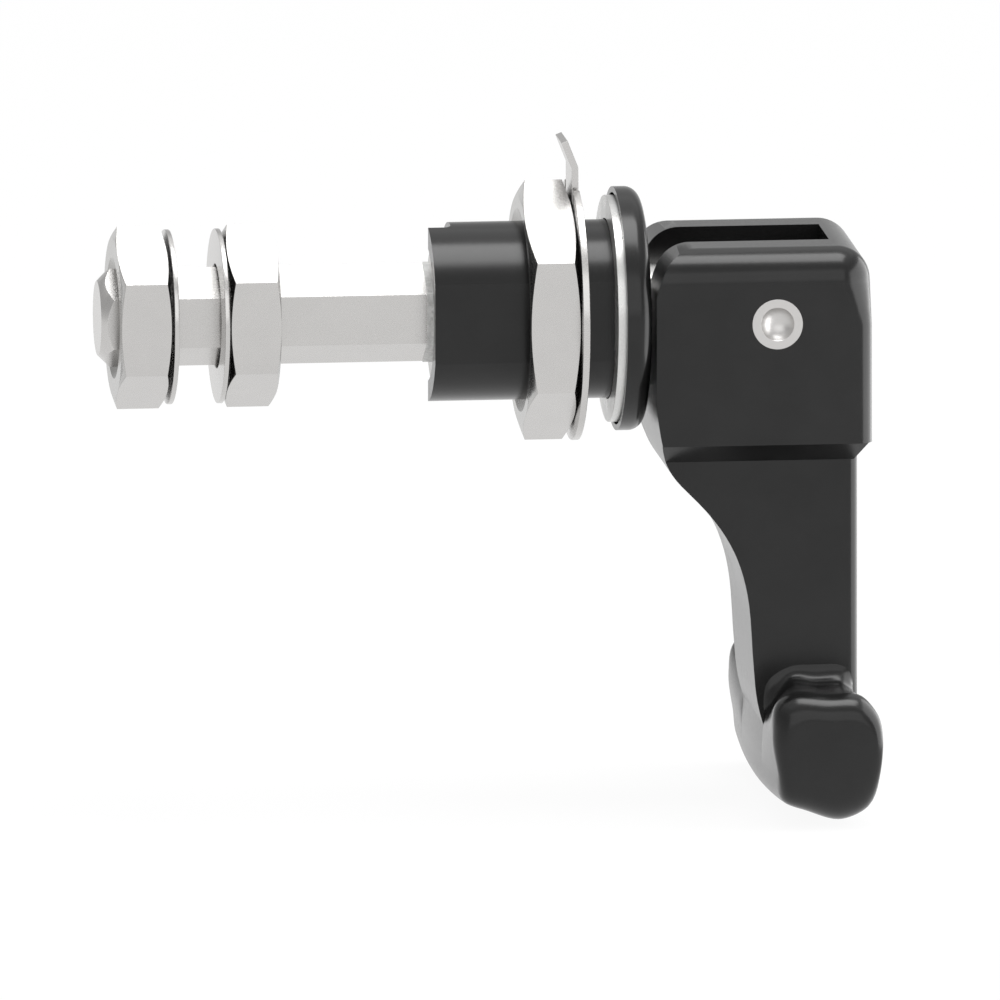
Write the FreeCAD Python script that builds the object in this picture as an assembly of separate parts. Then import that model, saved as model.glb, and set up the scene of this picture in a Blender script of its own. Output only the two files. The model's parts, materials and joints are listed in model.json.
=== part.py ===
# Compression latch: a threaded barrel clamped in a panel, a hexagonal spindle for the cam,
# and a T lever on a cross pin that lifts and then turns the spindle by a quarter turn.
#
# Frame: millimetres. The X axis is the spindle's axis and points out of the panel.
# X = 0 is the panel's outer face, where the gasket seats. +Z is opposite the lowered lever.
import FreeCAD, Part
import math
import os

V = FreeCAD.Vector

# Clearances
running_gap = 0.05            # shaft in a hole, each side
easy_gap = 0.10               # loose pieces side by side
side_gap = 0.20               # spindle's end between the fork's cheeks, each side
cam_gap = 0.45                # lowered lever's face to the wear disc

# Spindle
hex_flats = 10.2              # across flats, two flats face the Y axis
spindle_left = -60.57         # free end
spindle_end_diameter = 8.84   # flat left after the end chamfer
shaft_diameter = 10.4         # round front part that runs in the bush
hex_front = -10.5             # where the hexagon becomes round
hex_front_cone = 0.6          # length of the cone that leads from the hexagon to the shaft
end_cross_hole = 6.1          # hole for the pivot pin

# Cam clamp: two washers and two thin nuts on the hexagon
cam_seat_centre = -49.18
cam_seat_width = 5.43
washer_thickness = 0.57
washer_diameter = 20.7
washer_hole = 12.4
thin_nut_flats = 19.0
thin_nut_thickness = 5.95
nut_washer_gap = 0.28
nut_chamfer_angle = 19.0
thin_nut_sink_diameter = 14.4

# Barrel
barrel_diameter = 21.16
barrel_flats = 18.9
barrel_left = -21.37
bore_diameter = 16.3
bore_front = -1.2
notch_depth = 2.75
notch_near_side = -1.9        # the end wall is cut away beyond this Y
notch_corner = 0.8

# Flange
flange_diameter = 28.9
flange_back = 1.0
flange_front = 4.05
flange_edge_round = 1.7
gasket_recess_diameter = 27.5
gasket_thickness = 2.0
gasket_diameter = 26.9

# Wear disc, shaft seal and bush in the front wall
wear_disc_diameter = 18.4
wear_disc_thickness = 1.05
seal_cord = 1.9
seal_space = 2.1
bush_wall = 1.2

# Panel nut and earth washer
panel_nut_flats = 27.0
panel_nut_left = -10.35
panel_nut_thickness = 5.85
panel_nut_sink_diameter = 24.1
earth_washer_gap = 0.12
earth_washer_thickness = 0.8
earth_washer_diameter = 31.0
earth_washer_flat = 13.2
tab_width = 6.3
tab_bend_height = 17.3
tab_bend_angle = 21.6
tab_bent_length = 3.4
tab_foot_round = 1.0

# Stop disc and its snap ring
stop_disc_left = -20.42
stop_disc_thickness = 1.47
stop_hub_diameter = 14.8
stop_hub_front = -16.9
stop_lug_diameter = barrel_flats
stop_lug_ease = 1.0           # degrees left free at each end of the turn
turn_angle = 90.0
snap_ring_wire = 0.9
snap_ring_groove = 0.35
snap_ring_gap_angle = 40.0

# Return spring and its seats
clip_thickness = 0.9
clip_diameter = 14.0
clip_groove_diameter = 9.0
clip_opening_angle = 70.0
seat_step = 0.35              # from the end of the hexagon to the spring's seat
seat_thickness = 0.9
seat_diameter = 15.6
front_seat_thickness = 0.5
spring_wire = 1.2
spring_diameter = 13.0
spring_half_turns = 7

# Lever: fork block
pin_x = 18.93
block_face_distance = 14.4    # pin axis to the face that bears on the wear disc
block_back_distance = 11.4
block_top = 8.7
block_bottom = -14.5
block_width = 27.4
block_corner = 4.2            # between the bearing face and the top
block_side_round = 1.8
block_top_round = 4.0
block_corner_fade = 5.0       # height over which the top corners narrow to the side round
slot_right = 26.0
slot_bottom = -8.4

# Lever: stem
stem_width = 20.5
stem_back = 28.9
stem_edge_round = 1.2
stem_shoulder_drop = 2.4      # height of the slope from the block's sides to the stem
shoulder_step = 0.5
face_bottom = -9.8            # where the bearing face starts to curve into the stem
stem_curve = [
    (0.85, -15.0), (2.2, -18.4), (4.8, -21.3), (9.3, -27.2),
    (11.2, -33.0), (11.8, -40.0), (12.4, -46.0), (13.8, -51.0),
]

# Lever: crossbar
bar_length = 50.0
bar_top = -42.8
bar_bow = 0.8                 # the middle of the bar lies this much nearer the panel than its ends
bar_top_sag = 1.2             # and this much lower at its top
bar_low_sag = 0.6             # and this much lower at its bottom
bar_outline = [
    (17.4, -47.6), (17.9, -51.9), (18.6, -55.5), (21.8, -57.0), (26.0, -58.15), (29.0, -56.6),
    (30.35, -49.7), (30.0, -45.4), (28.2, -43.1), (24.0, bar_top), (19.5, -42.6), (17.8, -43.9),
]
# Flat face of the bar's ends, point for point inside the outline
bar_face = [
    (19.6, -48.4), (19.2, -51.0), (19.6, -52.7), (22.3, -53.0), (25.6, -53.3), (28.0, -52.6),
    (29.2, -49.8), (28.9, -47.6), (27.6, -46.5), (24.0, -46.2), (21.4, -46.1), (20.4, -46.6),
]
# The next two lists go round the bar like its outline
bar_neck = [0.9, 0.2, 0, 0, 0, 0, 0, -0.8, -0.4, 0, 2.4, 3.0]    # moved to the right beside the stem
bar_blend = [0.1, 0, 0, 0, 0, 0, 0, 0, 1, 1, 0.85, 1.1]     # share of the concave round at the stem
bar_neck_reach = 13.0          # the drawn-in part fades out over this distance
bar_neck_fade = 1.3           # power of the fade: 1 is straight
stem_blend = 2.6              # concave round between the stem and the top of the bar
blend_left = 18.2             # left and right limits of the concave round
blend_right = 27.6
round_steps = 8               # strips that each concave round and each rounded end is drawn with
middle_steps = 5              # strips from the middle of the bar to the stem's cheek

# Pivot pin
pin_diameter = 6.0
pin_dimple_diameter = 4.0
pin_dimple_depth = 1.15

# Worked out from the sizes above
bearing_face_x = pin_x - block_face_distance
wear_disc_face = bearing_face_x - cam_gap
wear_disc_back = wear_disc_face - wear_disc_thickness
hex_corner = hex_flats / math.sqrt(3)
barrel_radius = barrel_diameter / 2
bore_radius = bore_diameter / 2
shaft_radius = shaft_diameter / 2
seal_back = wear_disc_back - seal_space
half_slot = shaft_radius + side_gap
notch_half_angle = 90 + math.degrees(math.asin(-notch_near_side / barrel_radius))
snap_ring_x = (stop_disc_left + stop_disc_thickness + stop_hub_front) / 2
spring_front = bore_front - front_seat_thickness
seat_x = hex_front + seat_step
spring_back = seat_x + seat_thickness
clip_x = seat_x - clip_thickness
bar_depth = bar_top - min(z for x, z in bar_outline)


def cylinder(radius, x0, x1):
    return Part.makeCylinder(radius, x1 - x0, V(x0, 0, 0), V(1, 0, 0))


def ring(inner, outer, x0, x1):
    return cylinder(outer, x0, x1).cut(cylinder(inner, x0 - 1, x1 + 1))


def cone(r0, r1, x0, x1):
    return Part.makeCone(r0, r1, x1 - x0, V(x0, 0, 0), V(1, 0, 0))


def box(x0, x1, y0, y1, z0, z1):
    return Part.makeBox(x1 - x0, y1 - y0, z1 - z0, V(x0, y0, z0))


def hexagon(flats, x0, x1):
    """Hexagonal bar along X with two flats facing the Y axis."""
    corner = flats / math.sqrt(3)
    points = [
        V(x0, corner * math.sin(math.radians(60 * i)), corner * math.cos(math.radians(60 * i)))
        for i in range(7)
    ]
    return Part.Face(Part.makePolygon(points)).extrude(V(x1 - x0, 0, 0))


def prism_xz(edges, half_width):
    """Closed outline in the XZ plane, extruded evenly to both sides."""
    face = Part.Face(Part.Wire(edges))
    face.translate(V(0, -half_width, 0))
    return face.extrude(V(0, 2 * half_width, 0))


def hex_nut(flats, hole, sink_diameter, x0, thickness):
    """Hexagon nut with both faces chamfered and both mouths countersunk."""
    corner = flats / math.sqrt(3)
    rise = (corner - flats / 2) * math.tan(math.radians(nut_chamfer_angle))
    blank = cone(flats / 2, corner, x0, x0 + rise)
    blank = blank.fuse(cylinder(corner, x0 + rise, x0 + thickness - rise))
    blank = blank.fuse(cone(corner, flats / 2, x0 + thickness - rise, x0 + thickness))
    nut = hexagon(flats, x0, x0 + thickness).common(blank)
    sink = sink_diameter / 2 - hole / 2
    nut = nut.cut(cylinder(hole / 2, x0 - 1, x0 + thickness + 1))
    nut = nut.cut(cone(sink_diameter / 2, hole / 2, x0, x0 + sink))
    return nut.cut(cone(hole / 2, sink_diameter / 2, x0 + thickness - sink, x0 + thickness))


def sector(radius, x0, x1, start, span):
    """Pie slice about X. Angles run from -Z towards +Y."""
    def at(angle):
        a = math.radians(angle)
        return V(x0, radius * math.sin(a), -radius * math.cos(a))
    centre = V(x0, 0, 0)
    arc = Part.Arc(at(start), at(start + span / 2), at(start + span)).toShape()
    sides = [Part.makeLine(centre, at(start)), Part.makeLine(at(start + span), centre)]
    return Part.Face(Part.Wire([sides[0], arc, sides[1]])).extrude(V(x1 - x0, 0, 0))


def with_flats(shape, x0, x1):
    half = barrel_flats / 2
    return shape.common(box(x0, x1, -half, half, -barrel_diameter, barrel_diameter))


def make_housing():
    barrel = cylinder(barrel_radius, barrel_left, flange_back + 1)
    barrel = with_flats(barrel, barrel_left, flange_back + 1)
    flange = cylinder(flange_diameter / 2, flange_back, flange_front)
    front_edge = [e for e in flange.Edges if abs(e.BoundBox.XMin - flange_front) < 1e-6 and e.Closed]
    flange = flange.makeFillet(flange_edge_round, front_edge)
    flange = flange.cut(cylinder(gasket_recess_diameter / 2, flange_back - 1, gasket_thickness))
    neck = with_flats(cylinder(barrel_radius, flange_back, gasket_thickness), 0, gasket_thickness)
    body = barrel.fuse(neck)
    body = body.fuse(flange)
    collar = cylinder(wear_disc_diameter / 2, wear_disc_back, flange_front + 1)
    body = body.cut(collar)
    body = body.cut(cylinder(bore_radius, barrel_left - 1, bore_front))
    body = body.cut(cylinder(shaft_radius + bush_wall + running_gap, bore_front - 1, seal_back))
    body = body.cut(cylinder(shaft_radius + seal_cord + running_gap, seal_back, wear_disc_back + 1))
    groove = snap_ring_wire + 2 * easy_gap
    groove_left = snap_ring_x - groove / 2
    body = body.cut(cylinder(bore_radius + snap_ring_groove, groove_left, groove_left + groove))
    notch = box(barrel_left - 1, barrel_left + notch_depth, notch_near_side, barrel_diameter,
                -barrel_diameter, barrel_diameter)
    floor_edges = [
        e for e in notch.Edges
        if abs(e.BoundBox.XMin - barrel_left - notch_depth) < 1e-6
        and abs(e.BoundBox.YMax - notch_near_side) < 1e-6
    ]
    notch = notch.makeFillet(notch_corner, floor_edges)
    return body.cut(notch).removeSplitter()


def make_stop_disc():
    flange_front_x = stop_disc_left + stop_disc_thickness
    disc = cylinder(bore_radius - easy_gap, stop_disc_left, flange_front_x)
    lug_start = 90 + stop_lug_ease - notch_half_angle
    lug_span = 2 * notch_half_angle - turn_angle - 2 * stop_lug_ease
    lug = sector(stop_lug_diameter / 2, stop_disc_left, flange_front_x, lug_start, lug_span)
    disc = disc.fuse(lug)
    disc = disc.fuse(cylinder(stop_hub_diameter / 2, flange_front_x, stop_hub_front))
    groove = snap_ring_wire + 2 * easy_gap
    reach = bore_radius + snap_ring_groove - snap_ring_wire - 2 * easy_gap
    disc = disc.cut(ring(reach, bore_radius, snap_ring_x - groove / 2, snap_ring_x + groove / 2))
    disc = disc.cut(hexagon(hex_flats + 2 * running_gap, stop_disc_left - 1, stop_hub_front + 1))
    return disc.removeSplitter()


def make_snap_ring():
    outer = bore_radius + snap_ring_groove - easy_gap
    half = snap_ring_wire / 2
    full = ring(outer - snap_ring_wire, outer, snap_ring_x - half, snap_ring_x + half)
    half_gap = snap_ring_gap_angle / 2
    mouth = sector(bore_radius * 2, snap_ring_x - 1, snap_ring_x + 1, -half_gap, snap_ring_gap_angle)
    return full.cut(mouth)


def make_spindle():
    chamfer = hex_corner - spindle_end_diameter / 2
    blank = cone(spindle_end_diameter / 2, hex_corner, spindle_left, spindle_left + chamfer)
    blank = blank.fuse(cylinder(hex_corner, spindle_left + chamfer, hex_front - hex_front_cone))
    blank = blank.fuse(cone(hex_corner, shaft_radius, hex_front - hex_front_cone, hex_front))
    rod = hexagon(hex_flats, spindle_left, hex_front).common(blank)
    shaft = cylinder(shaft_radius, hex_front, pin_x)
    eye = Part.makeCylinder(shaft_radius, shaft_diameter, V(pin_x, -shaft_radius, 0), V(0, 1, 0))
    eye = eye.common(cylinder(shaft_radius, pin_x, pin_x + shaft_diameter))
    rod = rod.fuse(shaft).fuse(eye)
    start = V(pin_x, -shaft_diameter, 0)
    rod = rod.cut(Part.makeCylinder(end_cross_hole / 2, 2 * shaft_diameter, start, V(0, 1, 0)))
    rod = rod.cut(ring(clip_groove_diameter / 2, hex_corner + 1, clip_x, clip_x + clip_thickness))
    return rod.removeSplitter()


def make_spindle_clip():
    clip = ring(clip_groove_diameter / 2, clip_diameter / 2, clip_x, clip_x + clip_thickness)
    clip_right = clip_x + clip_thickness
    half_opening = clip_opening_angle / 2
    mouth = sector(clip_diameter, clip_x - 1, clip_right + 1, -half_opening, clip_opening_angle)
    return clip.cut(mouth)


def make_spring():
    """Coil of tilted half turns, each one a half ring that meets the next without a kink."""
    mean = spring_diameter / 2
    step = (spring_front - spring_back - spring_wire) / spring_half_turns
    tilt = math.degrees(math.asin(step / 2 / mean))
    coil = []
    for index in range(spring_half_turns):
        side = 1 if index % 2 else -1
        wire = Part.Wire([Part.Circle(V(0, 0, side * mean), V(0, 1, 0), spring_wire / 2).toShape()])
        half_turn = Part.Face(wire).revolve(V(0, 0, 0), V(1, 0, 0), 180)
        half_turn.rotate(V(0, 0, 0), V(0, 1, 0), -side * tilt)
        half_turn.translate(V(spring_back + spring_wire / 2 + (index + 0.5) * step, 0, 0))
        coil.append(half_turn)
    return coil[0].fuse(coil[1:]).removeSplitter()


def make_earth_washer():
    """Flat ring with a straight tab whose end is bent towards the nut."""
    x0 = panel_nut_left + panel_nut_thickness + earth_washer_gap
    x1 = x0 + earth_washer_thickness
    disc = cylinder(earth_washer_diameter / 2, x0, x1)
    disc = disc.cut(box(x0 - 1, x1 + 1, -tab_width / 2 - tab_foot_round, tab_width / 2 + tab_foot_round,
                        earth_washer_flat, earth_washer_diameter))
    tab = box(x0, x1, -tab_width / 2, tab_width / 2, barrel_radius, tab_bend_height)
    end = box(x0, x1, -tab_width / 2, tab_width / 2, tab_bend_height, tab_bend_height + tab_bent_length)
    end.rotate(V(x0, 0, tab_bend_height), V(0, 1, 0), -tab_bend_angle)
    bend = V(x0, -tab_width / 2, tab_bend_height)
    knee = Part.makeCylinder(earth_washer_thickness, tab_width, bend, V(0, 1, 0))
    knee = knee.common(box(x0, x1 + 1, -tab_width, tab_width, tab_bend_height, tab_bend_height + 1))
    washer = disc.fuse([tab, end, knee])
    hole = with_flats(cylinder(barrel_radius + easy_gap, x0 - 1, x1 + 1), x0 - 1, x1 + 1)
    return washer.cut(hole).removeSplitter()


def make_gasket():
    hole = cylinder(barrel_radius + easy_gap, -1, gasket_thickness + 1)
    hole = with_flats(hole, -1, gasket_thickness + 1)
    return cylinder(gasket_diameter / 2, 0, gasket_thickness).cut(hole)


def spline(points):
    curve = Part.BSplineCurve()
    curve.interpolate([V(x, 0, z) for x, z in points])
    return curve.toShape()


def line(a, b):
    return Part.makeLine(V(a[0], 0, a[1]), V(b[0], 0, b[1]))


def edges_where(shape, test):
    return [e for e in shape.Edges if test(e.BoundBox)]


def make_silhouette():
    """Side view of block and stem: bearing face, corner above it and the curve down to the crossbar."""
    face_x = bearing_face_x
    reach = block_face_distance + cam_gap - running_gap
    start_z = math.sqrt(reach ** 2 - block_face_distance ** 2)
    end_x = pin_x - math.sqrt(reach ** 2 - block_top ** 2)
    middle_angle = (math.asin(start_z / reach) + math.asin(block_top / reach)) / 2
    middle = V(pin_x - reach * math.cos(middle_angle), 0, reach * math.sin(middle_angle))
    face_end = (face_x, face_bottom)
    waist = [(face_x + x, z) for x, z in stem_curve]
    far_x = pin_x + block_back_distance + 5
    outline = [
        Part.Arc(V(face_x, 0, start_z), middle, V(end_x, 0, block_top)).toShape(),
        line((end_x, block_top), (far_x, block_top)),
        line((far_x, block_top), (far_x, waist[-1][1])),
        line((far_x, waist[-1][1]), waist[-1]),
        spline([face_end] + waist),
        line(face_end, (face_x, start_z)),
    ]
    plate = prism_xz(outline, block_width)
    corner = edges_where(plate, lambda b: b.XMax - b.XMin < 1e-4 and abs(b.XMin - end_x) < 1e-4)
    return plate.makeFillet(block_corner, corner)


def block_outline(z, radius):
    """Outline of the block seen from above, its two back corners rounded."""
    left, back = bearing_face_x - 2 * block_top_round, pin_x + block_back_distance
    half = block_width / 2
    side, turned = half - radius, radius * math.sqrt(0.5)
    near_bend = V(back - radius + turned, -side - turned, z)
    far_bend = V(back - radius + turned, side + turned, z)
    near_side, near_back = V(back - radius, -half, z), V(back, -side, z)
    far_side, far_back = V(back - radius, half, z), V(back, side, z)
    near_left, far_left = V(left, -half, z), V(left, half, z)
    return Part.Wire([
        Part.makeLine(near_left, near_side),
        Part.Arc(near_side, near_bend, near_back).toShape(),
        Part.makeLine(near_back, far_back),
        Part.Arc(far_back, far_bend, far_side).toShape(),
        Part.makeLine(far_side, far_left),
        Part.makeLine(far_left, near_left),
    ])


def make_block():
    """Fork block: ball corners at the top that narrow to the smaller round of the upright back edges."""
    back_x = pin_x + block_back_distance
    half = block_width / 2
    ball_z = block_top - block_top_round
    fade_z = ball_z - block_corner_fade
    brick = box(bearing_face_x - 2 * block_top_round, back_x, -half, half, block_bottom, block_top)
    rounded = edges_where(brick, lambda b: b.XMax > back_x - 1e-4 and b.ZMax > block_top - 1e-4)
    top = brick.makeFillet(block_top_round, rounded)
    top = top.common(box(bearing_face_x - 2 * block_top_round, back_x, -half, half, ball_z, block_top))
    outlines = [block_outline(fade_z, block_side_round), block_outline(ball_z, block_top_round)]
    middle = Part.makeLoft(outlines, True, True)
    foot = Part.Face(block_outline(block_bottom, block_side_round))
    foot = foot.extrude(V(0, 0, fade_z - block_bottom))
    return top.fuse([middle, foot])


def make_stem():
    half = stem_width / 2
    stem = box(bearing_face_x, stem_back, -half, half, stem_curve[-1][1], block_bottom)
    back = edges_where(stem, lambda b: b.XMin > stem_back - 1e-4 and b.ZMax - b.ZMin > half)
    return stem.makeFillet(stem_edge_round, back)


def rectangle_at(z, x0, x1, half):
    corners = [V(x0, -half, z), V(x1, -half, z), V(x1, half, z), V(x0, half, z), V(x0, -half, z)]
    return Part.makePolygon(corners)


def make_shoulder():
    """Slope from the block's sides and back down to the narrower stem."""
    back_x = pin_x + block_back_distance
    left = bearing_face_x - block_top_round
    top = rectangle_at(block_bottom, left, back_x - shoulder_step, block_width / 2 - shoulder_step)
    foot_z = block_bottom - stem_shoulder_drop
    foot = rectangle_at(foot_z, left, stem_back - shoulder_step, stem_width / 2)
    return Part.makeLoft([top, foot], True, True)


def quarter_round(radius, depth):
    """How far a quarter round stands back at a depth under the face it starts from."""
    return radius - math.sqrt(radius ** 2 - max(0, radius - depth) ** 2)


def bar_section(y):
    """Closed outline of the crossbar at one Y: bowed, rounded at the ends and blended into the stem."""
    bend = 1 - (2 * y / bar_length) ** 2
    past_cheek = max(0, abs(y) - stem_width / 2)
    neck = max(0, 1 - past_cheek / bar_neck_reach) ** bar_neck_fade
    places = []
    for (x, z), (face_x, face_z), ease in zip(bar_outline, bar_face, bar_neck):
        sag = bar_low_sag + (bar_top_sag - bar_low_sag) * (z + bar_depth - bar_top) / bar_depth
        radius = math.hypot(face_x - x, face_z - z)
        share = quarter_round(radius, bar_length / 2 - abs(y)) / radius
        x = x + (face_x - x) * share - bar_bow * bend + ease * neck
        places.append(V(x, y, z + (face_z - z) * share - sag * bend))
    points = []
    for index, place in enumerate(places):
        before, after = places[index - 1], places[(index + 1) % len(places)]
        along = V(after.x - before.x, 0, after.z - before.z).normalize()
        rise = bar_blend[index] * quarter_round(stem_blend, past_cheek)
        point = place + V(along.z, 0, -along.x) * rise
        point.x = max(min(point.x, max(place.x, blend_right)), min(place.x, blend_left))
        points.append(point)
    curve = Part.BSplineCurve()
    curve.interpolate(Points=points, PeriodicFlag=True)
    return Part.Wire([curve.toShape()])


def make_bar():
    """Crossbar drawn in strips: even ones in the middle, finer ones round the blends and the ends."""
    cheek, end = stem_width / 2, bar_length / 2
    reach = max(math.hypot(a[0] - b[0], a[1] - b[1]) for a, b in zip(bar_outline, bar_face))
    turns = [math.radians(90 * step / round_steps) for step in range(1, round_steps + 1)]
    steps = [cheek * step / middle_steps for step in range(middle_steps)] + [cheek - easy_gap]
    steps = steps + [cheek + stem_blend * (1 - math.cos(turn)) for turn in turns]
    steps = steps + [(cheek + stem_blend + end - reach) / 2, end - reach]
    steps = steps + [end - reach * (1 - math.sin(turn)) for turn in turns]
    places = [-y for y in reversed(steps[1:])] + steps
    return Part.makeLoft([bar_section(y) for y in places], True, True)


def make_handle():
    lever = make_block().fuse([make_shoulder(), make_stem()]).common(make_silhouette())
    lever = lever.fuse(make_bar()).removeSplitter()
    slot = box(bearing_face_x - 5, slot_right, -half_slot, half_slot, slot_bottom, block_top + 5)
    lever = lever.cut(slot)
    start = V(pin_x, -block_width / 2 - 1, 0)
    hole = Part.makeCylinder(pin_diameter / 2, block_width + 2, start, V(0, 1, 0))
    return lever.cut(hole)


def make_pin():
    half = block_width / 2
    pin = Part.makeCylinder(pin_diameter / 2, 2 * half, V(pin_x, -half, 0), V(0, 1, 0))
    a = pin_dimple_diameter / 2
    ball = (a ** 2 + pin_dimple_depth ** 2) / (2 * pin_dimple_depth)
    for side in (-1, 1):
        pin = pin.cut(Part.makeSphere(ball, V(pin_x, side * (half + ball - pin_dimple_depth), 0)))
    return pin


def make_washer(x0):
    return ring(washer_hole / 2, washer_diameter / 2, x0, x0 + washer_thickness)


def make_thin_nut(x0):
    hole = 2 * hex_corner + easy_gap
    return hex_nut(thin_nut_flats, hole, thin_nut_sink_diameter, x0, thin_nut_thickness)


def make_seal():
    """Round cord ring in the front wall, just clear of the shaft."""
    middle = shaft_radius + running_gap + seal_cord / 2
    centre = (seal_back + wear_disc_back) / 2
    return Part.makeTorus(middle, seal_cord / 2, V(centre, 0, 0), V(1, 0, 0))


def all_parts():
    left_washer = cam_seat_centre - cam_seat_width / 2 - washer_thickness
    right_washer = cam_seat_centre + cam_seat_width / 2
    left_nut = left_washer - nut_washer_gap - thin_nut_thickness
    right_nut = right_washer + washer_thickness + nut_washer_gap
    return {
        "housing": make_housing(),
        "wear_disc": ring(shaft_radius + easy_gap, wear_disc_diameter / 2, wear_disc_back, wear_disc_face),
        "shaft_seal": make_seal(),
        "guide_bush": ring(shaft_radius + running_gap, shaft_radius + bush_wall, bore_front, seal_back),
        "panel_gasket": make_gasket(),
        "earth_washer": make_earth_washer(),
        "panel_nut": hex_nut(panel_nut_flats, barrel_diameter + easy_gap, panel_nut_sink_diameter,
                             panel_nut_left, panel_nut_thickness),
        "snap_ring": make_snap_ring(),
        "stop_disc": make_stop_disc(),
        "return_spring": make_spring(),
        "spring_front_washer": ring(shaft_radius + easy_gap, seat_diameter / 2, spring_front, bore_front),
        "spindle": make_spindle(),
        "spindle_clip": make_spindle_clip(),
        "spring_seat": ring(shaft_radius + easy_gap, seat_diameter / 2, seat_x, spring_back),
        "cam_washer_outer": make_washer(left_washer),
        "cam_washer_inner": make_washer(right_washer),
        "cam_nut_outer": make_thin_nut(left_nut),
        "cam_nut_inner": make_thin_nut(right_nut),
        "handle": make_handle(),
        "pivot_pin": make_pin(),
    }


def main():
    os.makedirs("parts", exist_ok=True)
    for name, shape in all_parts().items():
        if shape.ShapeType == "Compound" and len(shape.Solids) == 1:
            shape = shape.Solids[0]
        print(name, shape.ShapeType, len(shape.Solids), shape.isValid(), round(shape.Volume, 1))
        shape.exportStep("parts/" + name + ".step")


main()
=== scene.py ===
"""Compression latch with a black T lever: finishes, refined surfaces, lights and camera."""
import json
import math

import bpy
from mathutils import Matrix, Vector


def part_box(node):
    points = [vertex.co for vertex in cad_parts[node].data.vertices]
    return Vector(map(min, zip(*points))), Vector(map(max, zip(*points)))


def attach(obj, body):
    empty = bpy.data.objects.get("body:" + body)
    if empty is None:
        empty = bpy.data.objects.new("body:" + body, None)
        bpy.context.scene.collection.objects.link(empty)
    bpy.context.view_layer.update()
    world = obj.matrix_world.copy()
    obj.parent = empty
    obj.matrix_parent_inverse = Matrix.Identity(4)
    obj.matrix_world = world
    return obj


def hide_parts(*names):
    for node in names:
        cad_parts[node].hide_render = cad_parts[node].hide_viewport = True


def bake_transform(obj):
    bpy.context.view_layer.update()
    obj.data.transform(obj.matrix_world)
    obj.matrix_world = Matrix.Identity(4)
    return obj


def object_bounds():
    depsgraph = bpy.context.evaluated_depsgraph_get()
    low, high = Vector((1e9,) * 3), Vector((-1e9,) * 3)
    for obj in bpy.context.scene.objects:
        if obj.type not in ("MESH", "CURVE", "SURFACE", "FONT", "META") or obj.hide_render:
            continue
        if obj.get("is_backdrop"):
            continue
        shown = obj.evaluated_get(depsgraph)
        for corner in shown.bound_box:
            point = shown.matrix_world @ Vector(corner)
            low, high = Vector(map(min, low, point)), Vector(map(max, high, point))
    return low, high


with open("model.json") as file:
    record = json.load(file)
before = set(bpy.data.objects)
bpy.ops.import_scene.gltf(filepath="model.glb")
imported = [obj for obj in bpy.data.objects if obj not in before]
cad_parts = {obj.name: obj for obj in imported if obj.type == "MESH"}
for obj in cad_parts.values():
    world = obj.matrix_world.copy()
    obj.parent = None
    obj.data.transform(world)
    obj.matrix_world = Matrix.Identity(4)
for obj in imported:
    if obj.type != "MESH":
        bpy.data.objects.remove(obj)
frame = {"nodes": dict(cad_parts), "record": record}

bl_info = {
    "name": "Compression Latch Finish",
    "version": (1, 0, 0),
    "blender": (4, 5, 0),
    "location": "View3D > Sidebar > Latch",
    "description": "Dresses the compression latch: plated steel, black lever, gasket, lights and camera",
    "category": "Object",
}

NODES = frame["nodes"]
STEEL_NUTS = ("cam_nut_outer", "cam_nut_inner", "panel_nut")
STEEL_WASHERS = ("cam_washer_outer", "cam_washer_inner")
INNER_STEEL = ("stop_disc", "spring_front_washer", "spring_seat")
SPRING_PARTS = ("snap_ring", "spindle_clip")


class LatchSizes(bpy.types.PropertyGroup):
    edge_break: bpy.props.FloatProperty(
        name="Edge break", description="Width of the small rounds on machined edges",
        default=0.00012, min=0.0, unit="LENGTH")
    lever_edge: bpy.props.FloatProperty(
        name="Lever edge", description="Width of the soft round on the lever's cast edges",
        default=0.00022, min=0.0, unit="LENGTH")
    sleeve_flats: bpy.props.FloatProperty(
        name="Sleeve flats", description="Hexagon of the stop disc's sleeve, across its flats",
        default=0.01045, min=0.0, unit="LENGTH")
    sleeve_wall: bpy.props.FloatProperty(
        name="Sleeve wall", description="Wall of the stop disc's sleeve",
        default=0.00016, min=0.0, unit="LENGTH")
    sleeve_proud: bpy.props.FloatProperty(
        name="Sleeve proud", description="How far the sleeve stands out of the barrel",
        default=0.00045, min=0.0, unit="LENGTH")
    view_width: bpy.props.FloatProperty(
        name="View width", description="Width of the parallel camera's picture",
        default=0.11834, min=0.01, unit="LENGTH")
    view_turn: bpy.props.FloatProperty(
        name="View turn", description="How far the camera stands to the left of the front",
        default=math.radians(6.6), subtype="ANGLE", unit="ROTATION")
    view_rise: bpy.props.FloatProperty(
        name="View rise", description="How far the camera looks down",
        default=math.radians(9.6), subtype="ANGLE", unit="ROTATION")
    view_centre: bpy.props.FloatVectorProperty(
        name="View centre", description="Point that lies in the middle of the picture",
        default=(-0.01257, 0.0, -0.02276), subtype="TRANSLATION", unit="LENGTH")
    camera_distance: bpy.props.FloatProperty(
        name="Camera distance", description="Distance from the camera to the latch",
        default=0.6, min=0.1, unit="LENGTH")


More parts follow.
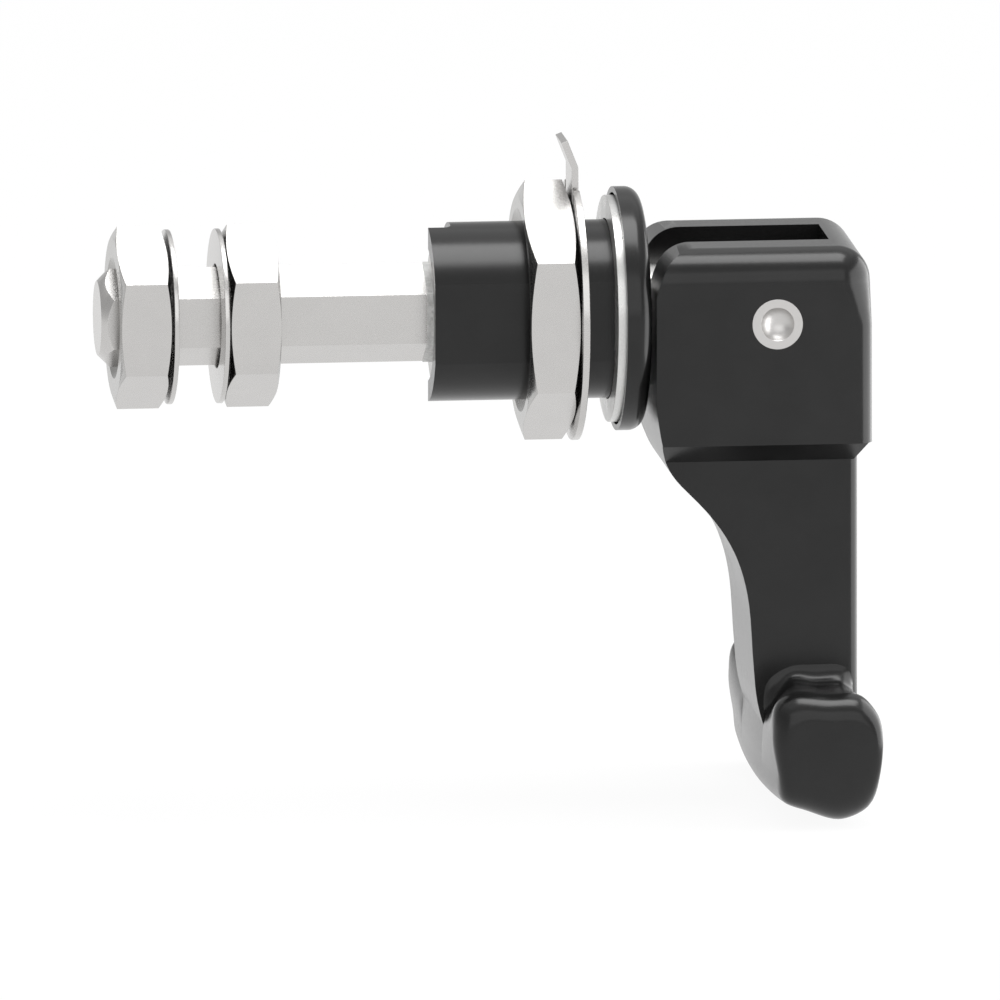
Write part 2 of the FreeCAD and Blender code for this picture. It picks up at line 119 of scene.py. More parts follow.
class LatchColours(bpy.types.PropertyGroup):
    steel: bpy.props.FloatVectorProperty(
        name="Plated steel", description="Zinc plate on nuts, washers and spindle",
        default=(0.565, 0.555, 0.545), size=3, subtype="COLOR", min=0, max=1)
    # Darker steel: the turned finish of the pieces inside the housing, and painted shade on the nuts' faces that
    # look along the spindle.
    turned_and_painted_shade: bpy.props.FloatVectorProperty(
        name="Turned steel", description="Chamfers, countersinks and other turned faces",
        default=(0.40, 0.395, 0.385), size=3, subtype="COLOR", min=0, max=1)
    black: bpy.props.FloatVectorProperty(
        name="Black coat", description="Satin powder coat on lever and housing",
        default=(0.0065, 0.0065, 0.0065), size=3, subtype="COLOR", min=0, max=1)
    gasket: bpy.props.FloatVectorProperty(
        name="Gasket", description="Pale sealing washer",
        default=(0.62, 0.62, 0.61), size=3, subtype="COLOR", min=0, max=1)
    bronze: bpy.props.FloatVectorProperty(
        name="Bronze", description="Sintered bush in the front wall",
        default=(0.42, 0.27, 0.13), size=3, subtype="COLOR", min=0, max=1)
    spring: bpy.props.FloatVectorProperty(
        name="Spring steel", description="Oiled spring wire and clips",
        default=(0.34, 0.34, 0.35), size=3, subtype="COLOR", min=0, max=1)
    rubber: bpy.props.FloatVectorProperty(
        name="Rubber", description="Cord seal round the shaft",
        default=(0.013, 0.013, 0.013), size=3, subtype="COLOR", min=0, max=1)
    nylon: bpy.props.FloatVectorProperty(
        name="Nylon", description="Pale sleeve in the mouth of the barrel",
        default=(0.52, 0.52, 0.51), size=3, subtype="COLOR", min=0, max=1)
    floor: bpy.props.FloatVectorProperty(
        name="Floor", description="Plain pale floor",
        default=(0.86, 0.86, 0.86), size=3, subtype="COLOR", min=0, max=1)


# Finishes
def new_finish(name):
    """An empty node material with its shader and an object-space position."""
    material = bpy.data.materials.new(name)
    material.use_nodes = True
    nodes = material.node_tree.nodes
    nodes.clear()
    out = nodes.new("ShaderNodeOutputMaterial")
    shader = nodes.new("ShaderNodeBsdfPrincipled")
    place = nodes.new("ShaderNodeTexCoord")
    material.node_tree.links.new(shader.outputs["BSDF"], out.inputs["Surface"])
    return material, shader, place.outputs["Object"]


def grain(material, place, scale, detail=3.0, roughness=0.55, stretch=(1, 1, 1)):
    """Noise of one grain size, drawn out along an axis by the stretch."""
    nodes, links = material.node_tree.nodes, material.node_tree.links
    mapping = nodes.new("ShaderNodeMapping")
    mapping.inputs["Scale"].default_value = stretch
    noise = nodes.new("ShaderNodeTexNoise")
    noise.inputs["Scale"].default_value = scale
    noise.inputs["Detail"].default_value = detail
    noise.inputs["Roughness"].default_value = roughness
    links.new(place, mapping.inputs["Vector"])
    links.new(mapping.outputs["Vector"], noise.inputs["Vector"])
    return noise.outputs["Fac"]


def spread(material, value, low, high, start=0.3, end=0.7):
    """Maps a grain onto a range of numbers."""
    node = material.node_tree.nodes.new("ShaderNodeMapRange")
    node.inputs["From Min"].default_value = start
    node.inputs["From Max"].default_value = end
    node.inputs["To Min"].default_value = low
    node.inputs["To Max"].default_value = high
    material.node_tree.links.new(value, node.inputs["Value"])
    return node.outputs["Result"]


def tint(material, value, dark, light, start=0.3, end=0.7):
    """Maps a grain onto a run between two colours."""
    node = material.node_tree.nodes.new("ShaderNodeValToRGB")
    node.color_ramp.elements[0].position = start
    node.color_ramp.elements[1].position = end
    node.color_ramp.elements[0].color = (*dark, 1)
    node.color_ramp.elements[1].color = (*light, 1)
    material.node_tree.links.new(value, node.inputs["Fac"])
    return node.outputs["Color"]


def relief(material, shader, layers):
    """Fine surface height from several grains, each with its depth in metres."""
    nodes, links = material.node_tree.nodes, material.node_tree.links
    normal = None
    for value, depth in layers:
        bump = nodes.new("ShaderNodeBump")
        bump.inputs["Strength"].default_value = 1.0
        bump.inputs["Distance"].default_value = depth
        links.new(value, bump.inputs["Height"])
        if normal is not None:
            links.new(normal, bump.inputs["Normal"])
        normal = bump.outputs["Normal"]
    links.new(normal, shader.inputs["Normal"])


def shade(colour, factor):
    return tuple(min(1.0, part * factor) for part in colour)


def plated_steel(name, colour, low=0.22, high=0.30, stretch=(1, 1, 1)):
    """Zinc plate: a soft sheen, faint cloudy patches and a fine sparkle of grain."""
    material, shader, place = new_finish(name)
    shader.inputs["Metallic"].default_value = 1.0
    cloud = grain(material, place, 300, 3)
    sparkle = grain(material, place, 6500, 2, 0.6, stretch)
    colour_out = tint(material, cloud, shade(colour, 0.985), shade(colour, 1.015))
    material.node_tree.links.new(colour_out, shader.inputs["Base Color"])
    material.node_tree.links.new(spread(material, sparkle, low, high), shader.inputs["Roughness"])
    relief(material, shader, [(sparkle, 0.0000009)])
    return material


def black_coat(name, colour, low=0.2, high=0.24):
    """Satin black coat with a very fine, even skin."""
    material, shader, place = new_finish(name)
    shader.inputs["Specular IOR Level"].default_value = 0.36
    skin = grain(material, place, 2600, 3)
    patch = grain(material, place, 140, 3)
    colour_out = tint(material, patch, shade(colour, 0.8), shade(colour, 1.3))
    material.node_tree.links.new(colour_out, shader.inputs["Base Color"])
    material.node_tree.links.new(spread(material, skin, low, high), shader.inputs["Roughness"])
    relief(material, shader, [(skin, 0.0000004)])
    return material


def gasket_face(name, colour):
    """Pale gasket with a thin metal facing and small darker flecks."""
    material, shader, place = new_finish(name)
    shader.inputs["Metallic"].default_value = 0.8
    fleck = grain(material, place, 3800, 4, 0.7)
    cloud = grain(material, place, 420, 3)
    colour_out = tint(material, fleck, shade(colour, 0.94), shade(colour, 1.04), 0.35, 0.62)
    material.node_tree.links.new(colour_out, shader.inputs["Base Color"])
    material.node_tree.links.new(spread(material, cloud, 0.26, 0.34), shader.inputs["Roughness"])
    relief(material, shader, [(fleck, 0.0000015)])
    return material


def moulded(name, colour, low, high, pore):
    """Moulded rubber or plastic with small pores."""
    material, shader, place = new_finish(name)
    pores = grain(material, place, pore, 4, 0.65)
    colour_out = tint(material, pores, shade(colour, 0.75), shade(colour, 1.3))
    material.node_tree.links.new(colour_out, shader.inputs["Base Color"])
    material.node_tree.links.new(spread(material, pores, low, high), shader.inputs["Roughness"])
    relief(material, shader, [(pores, 0.00001)])
    return material


def sintered_bronze(name, colour):
    """Pressed bronze with open grains and darker pores."""
    material, shader, place = new_finish(name)
    shader.inputs["Metallic"].default_value = 1.0
    grains = grain(material, place, 3400, 5, 0.75)
    colour_out = tint(material, grains, shade(colour, 0.45), shade(colour, 1.25), 0.36, 0.6)
    material.node_tree.links.new(colour_out, shader.inputs["Base Color"])
    material.node_tree.links.new(spread(material, grains, 0.38, 0.55), shader.inputs["Roughness"])
    relief(material, shader, [(grains, 0.00001)])
    return material


def wire_steel(name, colour):
    """Drawn wire with fine lines and a film of oil."""
    material, shader, place = new_finish(name)
    shader.inputs["Metallic"].default_value = 1.0
    shader.inputs["Coat Weight"].default_value = 0.3
    drawn = grain(material, place, 2400, 4, 0.6, (1, 0.2, 0.2))
    colour_out = tint(material, drawn, shade(colour, 0.8), shade(colour, 1.15))
    material.node_tree.links.new(colour_out, shader.inputs["Base Color"])
    material.node_tree.links.new(spread(material, drawn, 0.22, 0.38), shader.inputs["Roughness"])
    relief(material, shader, [(drawn, 0.000004)])
    return material


FINISHES = {
    "plated_steel": lambda c: plated_steel("plated steel", c.steel),
    "pin_steel": lambda c: plated_steel("headed pin steel", c.steel, 0.32, 0.42),
    # Darker steel, also used as painted shade on the nuts' end faces and chamfers.
    "turned_steel_and_painted_shade": lambda c: plated_steel("turned plated steel", c.turned_and_painted_shade, 0.2, 0.3),
    "black_coat": lambda c: black_coat("black coat", c.black),
    "gasket": lambda c: gasket_face("gasket face", c.gasket),
    "acetal": lambda c: moulded("black acetal", c.rubber, 0.34, 0.46, 2200),
    "nylon": lambda c: moulded("pale nylon", c.nylon, 0.36, 0.46, 2200),
    "rubber": lambda c: moulded("black rubber", c.rubber, 0.55, 0.7, 3000),
    "bronze": lambda c: sintered_bronze("sintered bronze", c.bronze),
    "wire": lambda c: wire_steel("spring wire", c.spring),
}
made_finishes = {}


def finish_of(key):
    if key not in made_finishes:
        made_finishes[key] = FINISHES[key](bpy.context.scene.latch_colours)
    return made_finishes[key]


def coat(thing, key):
    thing.data.materials.clear()
    thing.data.materials.append(finish_of(key))


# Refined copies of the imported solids
def only(thing):
    """Makes one object the selected and active one."""
    bpy.ops.object.select_all(action="DESELECT")
    thing.select_set(True)
    bpy.context.view_layer.objects.active = thing


def merged_copy(node, name):
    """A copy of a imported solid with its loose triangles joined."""
    only(NODES[node])
    bpy.ops.object.duplicate()
    piece = bpy.context.view_layer.objects.active
    piece.name = name
    piece.data.name = name
    for key in list(piece.keys()):
        del piece[key]
    piece.parent = None
    only(piece)
    bpy.ops.object.mode_set(mode="EDIT")
    bpy.ops.mesh.select_all(action="SELECT")
    bpy.ops.mesh.remove_doubles(threshold=0.000002)
    bpy.ops.mesh.customdata_custom_splitnormals_clear()
    bpy.ops.object.mode_set(mode="OBJECT")
    return piece


def flatten_faces(piece, degrees=1.0):
    only(piece)
    bpy.ops.object.mode_set(mode="EDIT")
    bpy.ops.mesh.select_all(action="SELECT")
    bpy.ops.mesh.dissolve_limited(angle_limit=math.radians(degrees))
    bpy.ops.object.mode_set(mode="OBJECT")


def break_edges(piece, width, degrees=28, segments=2):
    """Rounds the sharp edges a little, as real machined or cast edges are."""
    only(piece)
    bevel = piece.modifiers.new("edge break", "BEVEL")
    bevel.width = width
    bevel.segments = segments
    bevel.limit_method = "ANGLE"
    bevel.angle_limit = math.radians(degrees)
    bevel.harden_normals = False
    bevel.use_clamp_overlap = True
    bpy.ops.object.modifier_apply(modifier=bevel.name)


def smooth_shade(piece, degrees=24):
    """Smooth shading that keeps sharp edges, with flat faces kept flat beside their rounds."""
    only(piece)
    bpy.ops.object.shade_smooth_by_angle(angle=math.radians(degrees))
    flat = piece.modifiers.new("flat faces", "WEIGHTED_NORMAL")
    flat.keep_sharp = True
    flat.weight = 100
    bpy.ops.object.modifier_apply(modifier=flat.name)


def coat_facing(piece, key, direction, least):
    """Gives a second finish to the faces that look mostly one way; on the nuts this is painted shade."""
    piece.data.materials.append(finish_of(key))
    aim = Vector(direction)
    for face in piece.data.polygons:
        if face.normal.dot(aim) > least:
            face.material_index = len(piece.data.materials) - 1


def refined(node, name, key, width, degrees=28):
    """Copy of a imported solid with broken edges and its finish, standing for that solid."""
    piece = merged_copy(node, name)
    flatten_faces(piece)
    break_edges(piece, width, degrees)
    smooth_shade(piece)
    coat(piece, key)
    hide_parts(node)
    return piece


class LATCH_OT_finish_inner(bpy.types.Operator):
    """Gives the pieces inside the housing their finishes"""
    bl_idname = "latch.finish_inner"
    bl_label = "Inner pieces"

    def execute(self, context):
        for node in INNER_STEEL:
            coat(NODES[node], "turned_steel_and_painted_shade")
        for node in SPRING_PARTS:
            coat(NODES[node], "wire")
        coat(NODES["guide_bush"], "bronze")
        coat(NODES["shaft_seal"], "rubber")
        coat(NODES["wear_disc"], "acetal")
        return {"FINISHED"}


class LATCH_OT_finish_spring(bpy.types.Operator):
    """Oils the return spring"""
    bl_idname = "latch.finish_spring"
    bl_label = "Return spring"

    def execute(self, context):
        spring = merged_copy("return_spring", "return_spring_wire")
        smooth_shade(spring, 35)
        coat(spring, "wire")
        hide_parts("return_spring")
        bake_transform(spring)
        return {"FINISHED"}


class LATCH_OT_finish_hardware(bpy.types.Operator):
    """Breaks the edges of nuts, washers, spindle and pin and plates them"""
    bl_idname = "latch.finish_hardware"
    bl_label = "Steel hardware"

    def execute(self, context):
        width = context.scene.latch_sizes.edge_break
        for node in STEEL_NUTS:
            nut = refined(node, node + "_plated", "plated_steel", width)
            # Painted shade: the nuts' chamfers and end faces, which look along the spindle, take the darker
            # steel.
            coat_facing(nut, "turned_steel_and_painted_shade", (-1, 0, 0), 0.3)
            coat_facing(nut, "turned_steel_and_painted_shade", (1, 0, 0), 0.3)
            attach(nut, BODY_OF[node])
        for node in STEEL_WASHERS + ("earth_washer",):
            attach(refined(node, node + "_plated", "plated_steel", width * 0.7), BODY_OF[node])
        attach(refined("spindle", "spindle_plated", "plated_steel", width * 2.5), BODY_OF["spindle"])
        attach(refined("pivot_pin", "pivot_pin_plated", "pin_steel", width), BODY_OF["pivot_pin"])
        return {"FINISHED"}


class LATCH_OT_stop_sleeve(bpy.types.Operator):
    """Draws the short hexagonal sleeve of the stop disc that shows in the barrel's mouth"""
    bl_idname = "latch.stop_sleeve"
    bl_label = "Stop sleeve"

    def execute(self, context):
        sizes = context.scene.latch_sizes
        bpy.ops.object.select_all(action="DESELECT")
        disc_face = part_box("stop_disc")[0][0]
        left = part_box("housing")[0][0] - sizes.sleeve_proud
        turn = Matrix.Rotation(math.pi / 2, 4, "X") @ Matrix.Rotation(math.pi / 2, 4, "Y")
        bpy.ops.mesh.primitive_cylinder_add(
            vertices=6, radius=sizes.sleeve_flats / math.sqrt(3), depth=disc_face - left, end_fill_type="NOTHING")
        sleeve = context.view_layer.objects.active
        sleeve.name = "stop_sleeve"
        sleeve.data.transform(Matrix.Translation(((disc_face + left) / 2, 0, 0)) @ turn)
        wall = sleeve.modifiers.new("wall", "SOLIDIFY")
        wall.thickness = sizes.sleeve_wall
        wall.offset = -1
        wall.use_even_offset = True
        bpy.ops.object.modifier_apply(modifier=wall.name)
        break_edges(sleeve, sizes.edge_break * 0.5, 35)
        smooth_shade(sleeve)
        coat(sleeve, "nylon")
        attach(sleeve, BODY_OF["stop_disc"])
        return {"FINISHED"}


class LATCH_OT_finish_housing(bpy.types.Operator):
    """Breaks the edges of the housing and the gasket and gives them their finishes"""
    bl_idname = "latch.finish_housing"
    bl_label = "Housing and gasket"

    def execute(self, context):
        width = context.scene.latch_sizes.edge_break
        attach(refined("housing", "housing_coated", "black_coat", width), BODY_OF["housing"])
        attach(refined("panel_gasket", "panel_gasket_faced", "gasket", width), BODY_OF["panel_gasket"])
        return {"FINISHED"}


def through(points, count, closed):
    """Even steps along a smooth line through the points, each a pair of numbers."""
    spans = len(points) if closed else len(points) - 1

    def corner(index):
        if closed:
            return Vector(points[index % len(points)])
        return Vector(points[max(0, min(len(points) - 1, index))])

    line = []
    for step in range(count):
        at = spans * step / (count if closed else count - 1)
        index = min(int(at), spans - 1)
        t = at - index
        a, b, c, d = (corner(index + shift) for shift in (-1, 0, 1, 2))
        first, last = (b - a).length ** 0.5, (c - b).length ** 0.5
        third = (d - c).length ** 0.5
        leave = (c - b) / last ** 2 if first < 1e-9 else (b - a) / first ** 2 * last / (first + last) + (
            c - b) / last ** 2 * first / (first + last)
        arrive = (c - b) / last ** 2 if third < 1e-9 else (c - b) / last ** 2 * third / (last + third) + (
            d - c) / third ** 2 * last / (last + third)
        leave, arrive = leave * last ** 2, arrive * last ** 2
        line.append(
            b * (2 * t ** 3 - 3 * t ** 2 + 1) + leave * (t ** 3 - 2 * t ** 2 + t)
            + c * (3 * t ** 2 - 2 * t ** 3) + arrive * (t ** 3 - t ** 2))
    return line


# Lever's crossbar, in millimetres: outline in X and Z seen along the bar, and the flat face at its ends
BAR_OUTLINE = (
    (17.4, -47.6), (17.9, -51.9), (18.6, -55.5), (21.8, -57.0), (26.0, -58.15), (29.0, -56.6),
    (30.35, -49.7), (30.0, -45.4), (28.2, -43.1), (24.0, -42.8), (19.5, -42.6), (17.8, -43.9),
)
BAR_FACE = (
    (19.6, -48.4), (19.2, -51.0), (19.6, -52.7), (22.3, -53.0), (25.6, -53.3), (28.0, -52.6),
    (29.2, -49.8), (28.9, -47.6), (27.6, -46.5), (24.0, -46.2), (21.4, -46.1), (20.4, -46.6),
)
BAR_NECK = (0.9, 0.2, 0, 0, 0, 0, 0, -0.8, -0.4, 0, 2.4, 3.0)
BAR_BLEND = (0.1, 0, 0, 0, 0, 0, 0, 0, 1, 1, 0.85, 1.1)
BAR_HALF, BAR_BOW, LOW_SAG, TOP_SAG, TOP_POINT = 25.0, 0.8, 0.6, 1.2, 9
STEM_HALF, NECK_REACH, NECK_FADE, BLEND = 10.25, 13.0, 1.3, 2.6
BLEND_LEFT, BLEND_RIGHT = 18.2, 27.6
STEM_EDGE = ((15.73, -33.0), (16.33, -40.0), (16.93, -46.0), (18.33, -51.0))
STEM_CUT, STEM_FOOT = -39.0, -51.0
# In metres: how much of the stem's width follows its left edge, and two small allowances for a level
STEM_EASE, LEVEL_SLACK, CUT_SLACK = 0.01, 1e-6, 1e-7
RING_STEPS, BLEND_STEPS, END_STEPS, STEM_STEPS, EDGE_STEPS = 96, 14, 20, 12, 400

ORDER_POINT = (0.31, 0.17, 0.53)


def quarter_round(radius, depth):
    """How far a quarter round stands back at a depth under the face it starts from."""
    return radius - math.sqrt(radius ** 2 - max(0.0, radius - depth) ** 2)


def bar_ring(y):
    """One ring of the crossbar: bowed, rounded at the ends and blended into the stem."""
    lowest = min(z for x, z in BAR_OUTLINE)
    highest = BAR_OUTLINE[TOP_POINT][1]
    bend = 1 - (y / BAR_HALF) ** 2
    past_stem = max(0.0, abs(y) - STEM_HALF)
    neck = max(0.0, 1 - past_stem / NECK_REACH) ** NECK_FADE
    places = []
    for (x, z), (face_x, face_z), ease in zip(BAR_OUTLINE, BAR_FACE, BAR_NECK):
        sag = LOW_SAG + (TOP_SAG - LOW_SAG) * (z - lowest) / (highest - lowest)
        radius = math.hypot(face_x - x, face_z - z)
        share = quarter_round(radius, BAR_HALF - abs(y)) / radius
        x += (face_x - x) * share - BAR_BOW * bend + ease * neck
        places.append(Vector((x, z + (face_z - z) * share - sag * bend)))
    rise = quarter_round(BLEND, past_stem)
    points = []
    for index, place in enumerate(places):
        along = (places[(index + 1) % len(places)] - places[index - 1]).normalized()
        point = place + Vector((along.y, -along.x)) * rise * BAR_BLEND[index]
        point.x = max(min(point.x, max(place.x, BLEND_RIGHT)), min(place.x, BLEND_LEFT))
        points.append(point)
    return [Vector((x, y, z)) * 0.001 for x, z in through(points, RING_STEPS, True)]


def quarter_turns(count):
    return [math.radians(90 * step / count) for step in range(1, count + 1)]


def bar_rings():
    """Rings from the middle of the bar to one end."""
    reach = max(math.dist(edge, face) for edge, face in zip(BAR_OUTLINE, BAR_FACE))
    places = [STEM_HALF * share for share in (0.0, 0.25, 0.5, 0.75, 0.97)]
    places += [STEM_HALF + BLEND * (1 - math.cos(turn)) for turn in quarter_turns(BLEND_STEPS)]
    inner, outer = STEM_HALF + BLEND, BAR_HALF - reach
    places += [inner + (outer - inner) * share for share in (0.25, 0.5, 0.75, 1.0)]
    places += [BAR_HALF - reach * (1 - math.sin(turn)) for turn in quarter_turns(END_STEPS)]
    rings = [bar_ring(y) for y in places]
    rim = rings[-1]
    centre = sum(rim, Vector()) / len(rim)
    rings.extend([centre.lerp(point, share) for point in rim] for share in (0.8, 0.55, 0.3, 0.1))
    return rings


def make_bar():
    """Crossbar with its concave blends, drawn out ring by ring from a circle."""
    bpy.ops.object.select_all(action="DESELECT")
    half = bar_rings()
    rings = [[Vector((p.x, -p.y, p.z)) for p in ring] for ring in reversed(half)] + half[1:]
    bpy.ops.mesh.primitive_circle_add(vertices=RING_STEPS, radius=0.005, fill_type="NGON")
    bar = bpy.context.view_layer.objects.active
    bar.name = "crossbar"
    for vertex, place in zip(bar.data.vertices, rings[0]):
        vertex.co = place
    for ring in rings[1:]:
        bpy.ops.object.mode_set(mode="EDIT")
        bpy.ops.mesh.extrude_region_move(TRANSFORM_OT_translate={"value": (0, 0.0001, 0)})
        bpy.ops.object.mode_set(mode="OBJECT")
        for vertex, place in zip(bar.data.vertices[-RING_STEPS:], ring):
            vertex.co = place
    bpy.ops.object.mode_set(mode="EDIT")
    bpy.ops.mesh.select_all(action="SELECT")
    bpy.ops.mesh.normals_make_consistent(inside=False)
    bpy.ops.object.mode_set(mode="OBJECT")
    return bar


def cut_off_below(piece, height):
    """Removes all of a piece under a level."""
    only(piece)
    bpy.ops.object.mode_set(mode="EDIT")
    bpy.ops.mesh.select_all(action="SELECT")
    bpy.ops.mesh.bisect(plane_co=(0, 0, height), plane_no=(0, 0, 1), clear_inner=True, threshold=CUT_SLACK)
    bpy.ops.object.mode_set(mode="OBJECT")


def select_level(piece, height):
    """Selects the vertices and edges of a piece that lie at one level."""
    only(piece)
    bpy.ops.object.mode_set(mode="EDIT")
    bpy.ops.mesh.select_all(action="DESELECT")
    bpy.ops.object.mode_set(mode="OBJECT")
    for vertex in piece.data.vertices:
        vertex.select = abs(vertex.co.z - height) < LEVEL_SLACK
    for side in piece.data.edges:
        a, b = (piece.data.vertices[index] for index in side.vertices)
        side.select = a.select and b.select


def lengthen_stem(piece):
    """Draws the stem's cut rim down into the bar, its left part following the lever's curve."""
    edge = through(STEM_EDGE, EDGE_STEPS, False)
    drop = (STEM_FOOT - STEM_CUT) / STEM_STEPS
    levels = [STEM_CUT + drop * step for step in range(1, STEM_STEPS + 1)]
    select_level(piece, STEM_CUT * 0.001)
    left = min(vertex.co.x for vertex in piece.data.vertices if vertex.select)
    for level in levels:
        start = len(piece.data.vertices)
        bpy.ops.object.mode_set(mode="EDIT")
        bpy.ops.mesh.extrude_edges_move(TRANSFORM_OT_translate={"value": (0, 0, drop * 0.001)})
        bpy.ops.object.mode_set(mode="OBJECT")
        near = min(edge, key=lambda point: abs(point[1] - level))
        new_left = near[0] * 0.001
        for vertex in list(piece.data.vertices)[start:]:
            share = 1 - (vertex.co.x - left) / STEM_EASE
            if share > 0:
                vertex.co.x += (new_left - left) * share
        left = new_left


def settle_order(piece):
    """Puts the drawn-out mesh in one order, seen from a point beside it, so that every run flattens it alike."""
    only(piece)
    cursor = bpy.context.scene.cursor
    cursor.location = ORDER_POINT
    bpy.ops.object.mode_set(mode="EDIT")
    bpy.ops.mesh.select_all(action="SELECT")
    bpy.ops.mesh.sort_elements(type="CURSOR_DISTANCE", elements={"VERT", "EDGE", "FACE"})
    bpy.ops.object.mode_set(mode="OBJECT")
    cursor.location = (0, 0, 0)


def close_foot(piece):
    """Closes the stem's open foot, which lies inside the bar."""
    select_level(piece, STEM_FOOT * 0.001)
    bpy.ops.object.mode_set(mode="EDIT")
    bpy.ops.mesh.edge_face_add()
    bpy.ops.mesh.select_all(action="SELECT")
    bpy.ops.mesh.normals_make_consistent(inside=False)
    bpy.ops.object.mode_set(mode="OBJECT")


class LATCH_OT_finish_lever(bpy.types.Operator):
    """Breaks the lever's edges, draws its crossbar with smooth blends and coats it black"""
    bl_idname = "latch.finish_lever"
    bl_label = "Lever"

    def execute(self, context):
        width = context.scene.latch_sizes.lever_edge
        piece = merged_copy("handle", "lever_coated")
        cut_off_below(piece, STEM_CUT * 0.001)
        lengthen_stem(piece)
        settle_order(piece)
        flatten_faces(piece)
        break_edges(piece, width, 35)
        close_foot(piece)
        bar = make_bar()
        bpy.ops.object.select_all(action="DESELECT")
        bar.select_set(True)
        piece.select_set(True)
        context.view_layer.objects.active = piece
        bpy.ops.object.join()
        smooth_shade(piece, 32)
        coat(piece, "black_coat")
        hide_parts("handle")
        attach(piece, BODY_OF["handle"])
        return {"FINISHED"}


# Each lamp's name, place, aim, width, height and power
LAMPS = (
    ("overhead softbox", (0.09, -0.02, 0.85), (0, 0, -0.02), 0.5, 0.5, 4.2),
    ("right softbox", (0.084, -0.006, -0.008), (0.0, -0.006, -0.008), 0.13, 0.1, 0.11),
    ("front softbox", (-0.1, -1.2, 0.5), (0, 0, -0.02), 1.5, 0.9, 3.8),
    ("wide overhead fill", (0.0, 0.3, 1.4), (0, 0, 0), 2.4, 2.4, 5.0),
)
FLOOR_SIZE, FLOOR_GAP, FLOOR_WHITE = 6.0, 0.0002, 0.93


def soft_lamp(name, place, aim, width, height, power):
    """A large soft panel light that faces a point."""
    bpy.ops.object.light_add(type="AREA", location=place)
    lamp = bpy.context.view_layer.objects.active
    lamp.name = name
    lamp.data.shape = "RECTANGLE"
    lamp.data.size = width
    lamp.data.size_y = height
    lamp.data.energy = power
    lamp.visible_camera = False
    lamp.rotation_mode = "QUATERNION"
    lamp.rotation_quaternion = (Vector(aim) - Vector(place)).to_track_quat("-Z", "Y")


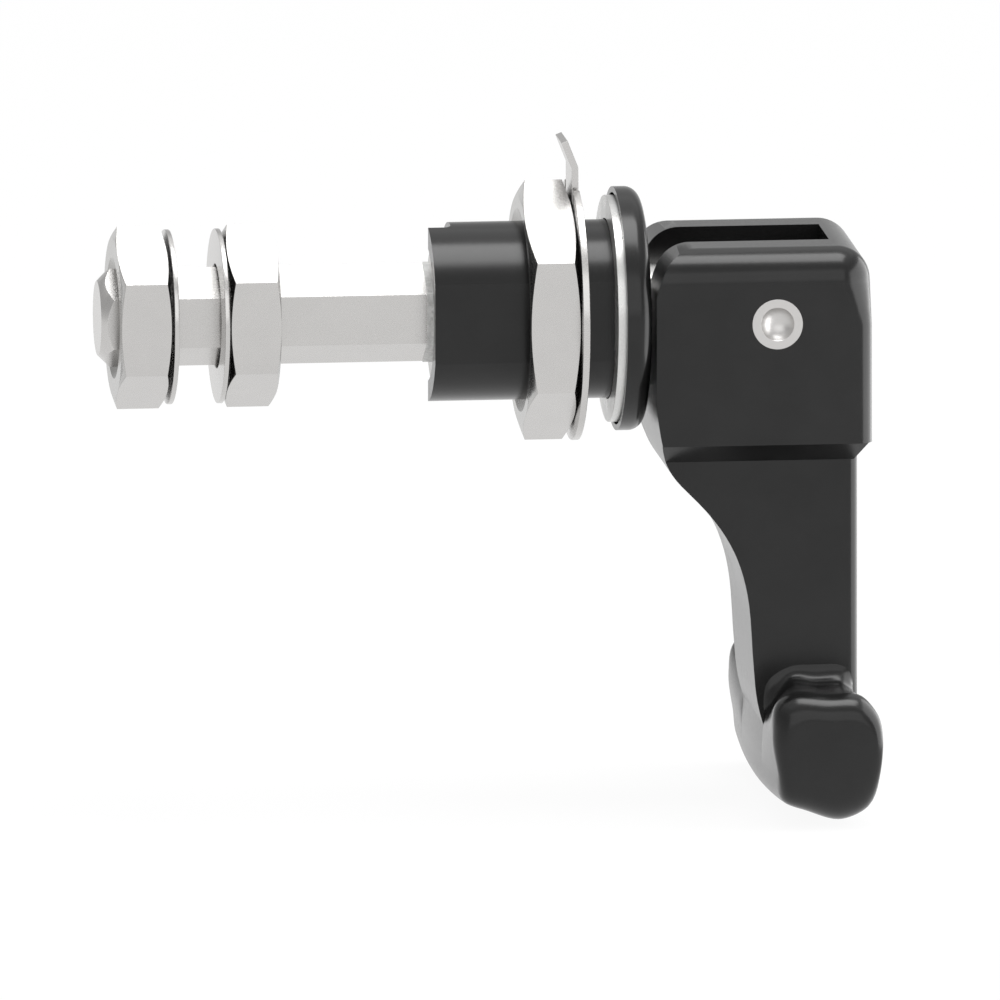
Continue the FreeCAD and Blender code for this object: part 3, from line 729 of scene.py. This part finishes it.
class LATCH_OT_stage(bpy.types.Operator):
    """Pale floor, soft lights, white surroundings and the camera"""
    bl_idname = "latch.stage"
    bl_label = "Stage"

    def execute(self, context):
        sizes, colours = context.scene.latch_sizes, context.scene.latch_colours
        bpy.ops.object.select_all(action="DESELECT")
        low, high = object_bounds()
        bpy.ops.mesh.primitive_plane_add(size=FLOOR_SIZE, location=(0, 0, low.z - FLOOR_GAP))
        floor = context.view_layer.objects.active
        floor.name = "floor"
        bpy.ops.object.transform_apply(location=True, rotation=True, scale=True)
        floor.data.materials.append(self.floor_finish(colours.floor))
        floor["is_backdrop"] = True
        self.surroundings(context)
        for lamp in LAMPS:
            soft_lamp(*lamp)
        self.camera(context, sizes)
        context.scene.view_settings.view_transform = "Standard"
        return {"FINISHED"}

    def white_where_seen(self, tree):
        """1 where the camera, a gloss or a see-through ray looks, else 0."""
        path = tree.nodes.new("ShaderNodeLightPath")
        first = tree.nodes.new("ShaderNodeMath")
        first.operation = "MAXIMUM"
        second = tree.nodes.new("ShaderNodeMath")
        second.operation = "MAXIMUM"
        tree.links.new(path.outputs["Is Camera Ray"], first.inputs[0])
        tree.links.new(path.outputs["Is Glossy Ray"], first.inputs[1])
        tree.links.new(first.outputs[0], second.inputs[0])
        tree.links.new(path.outputs["Is Transmission Ray"], second.inputs[1])
        return second.outputs[0]

    def floor_finish(self, colour):
        material = bpy.data.materials.new("pale floor")
        material.use_nodes = True
        tree = material.node_tree
        tree.nodes.clear()
        out = tree.nodes.new("ShaderNodeOutputMaterial")
        cloth = tree.nodes.new("ShaderNodeBsdfDiffuse")
        cloth.inputs["Color"].default_value = (*colour, 1)
        white = tree.nodes.new("ShaderNodeEmission")
        white.inputs["Strength"].default_value = 1.0
        seen = tree.nodes.new("ShaderNodeMath")
        seen.operation = "MULTIPLY"
        seen.inputs[1].default_value = FLOOR_WHITE
        mix = tree.nodes.new("ShaderNodeMixShader")
        tree.links.new(self.white_where_seen(tree), seen.inputs[0])
        tree.links.new(seen.outputs[0], mix.inputs["Fac"])
        tree.links.new(cloth.outputs[0], mix.inputs[1])
        tree.links.new(white.outputs[0], mix.inputs[2])
        tree.links.new(mix.outputs[0], out.inputs["Surface"])
        return material

    def surroundings(self, context):
        """Studio walls: softly darker at eye level and lighter overhead."""
        world = bpy.data.worlds.new("studio")
        context.scene.world = world
        world.use_nodes = True
        tree = world.node_tree
        tree.nodes.clear()
        out = tree.nodes.new("ShaderNodeOutputWorld")
        room = tree.nodes.new("ShaderNodeBackground")
        place = tree.nodes.new("ShaderNodeTexCoord")
        height = tree.nodes.new("ShaderNodeSeparateXYZ")
        walls = tree.nodes.new("ShaderNodeValToRGB")
        tree.links.new(place.outputs["Generated"], height.inputs["Vector"])
        tree.links.new(height.outputs["Z"], walls.inputs["Fac"])
        tree.links.new(walls.outputs["Color"], room.inputs["Color"])
        tree.links.new(room.outputs["Background"], out.inputs["Surface"])
        steps = walls.color_ramp.elements
        steps[0].position, steps[0].color = 0.0, (0.72, 0.72, 0.72, 1)
        steps[1].position, steps[1].color = 1.0, (0.9, 0.9, 0.9, 1)
        middle = steps.new(0.35)
        middle.color = (0.5, 0.5, 0.5, 1)

    def camera(self, context, sizes):
        turn, rise = sizes.view_turn, sizes.view_rise
        forward = Vector((math.sin(turn) * math.cos(rise), math.cos(turn) * math.cos(rise), -math.sin(rise)))
        right = Vector((math.cos(turn), -math.sin(turn), 0))
        up = right.cross(forward)
        place = Vector(sizes.view_centre) - forward * sizes.camera_distance
        bpy.ops.object.camera_add(location=place)
        camera = context.view_layer.objects.active
        camera.name = "camera"
        camera.data.type = "ORTHO"
        camera.data.ortho_scale = sizes.view_width
        camera.rotation_mode = "QUATERNION"
        camera.rotation_quaternion = Matrix((right, up, -forward)).transposed().to_quaternion()
        camera.data.clip_start = 0.01
        camera.data.clip_end = 10
        context.scene.camera = camera


class LATCH_PT_panel(bpy.types.Panel):
    """Sizes, colours and steps for the latch"""
    bl_idname = "LATCH_PT_panel"
    bl_label = "Compression latch"
    bl_space_type = "VIEW_3D"
    bl_region_type = "UI"
    bl_category = "Latch"

    def draw(self, context):
        for group in (context.scene.latch_sizes, context.scene.latch_colours):
            box = self.layout.box()
            for name in group.__annotations__:
                box.prop(group, name)
        for step in STEPS:
            self.layout.operator(step.bl_idname, text=step.bl_label)


BODY_OF = {node: body for body, members in frame["record"]["behaviour"]["bodies"].items() for node in members}
STEPS = (
    LATCH_OT_finish_inner, LATCH_OT_finish_spring, LATCH_OT_finish_hardware, LATCH_OT_stop_sleeve,
    LATCH_OT_finish_housing, LATCH_OT_finish_lever, LATCH_OT_stage,
)
CLASSES = (LatchSizes, LatchColours) + STEPS + (LATCH_PT_panel,)


def register():
    for item in CLASSES:
        bpy.utils.register_class(item)
    bpy.types.Scene.latch_sizes = bpy.props.PointerProperty(type=LatchSizes)
    bpy.types.Scene.latch_colours = bpy.props.PointerProperty(type=LatchColours)


def unregister():
    del bpy.types.Scene.latch_colours
    del bpy.types.Scene.latch_sizes
    for item in reversed(CLASSES):
        bpy.utils.unregister_class(item)


def main():
    register()
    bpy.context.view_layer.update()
    bpy.ops.latch.finish_inner()
    bpy.ops.latch.finish_spring()
    bpy.ops.latch.finish_hardware()
    bpy.ops.latch.stop_sleeve()
    bpy.ops.latch.finish_housing()
    bpy.ops.latch.finish_lever()
    bpy.ops.latch.stage()


if __name__ == "__main__":
    main()
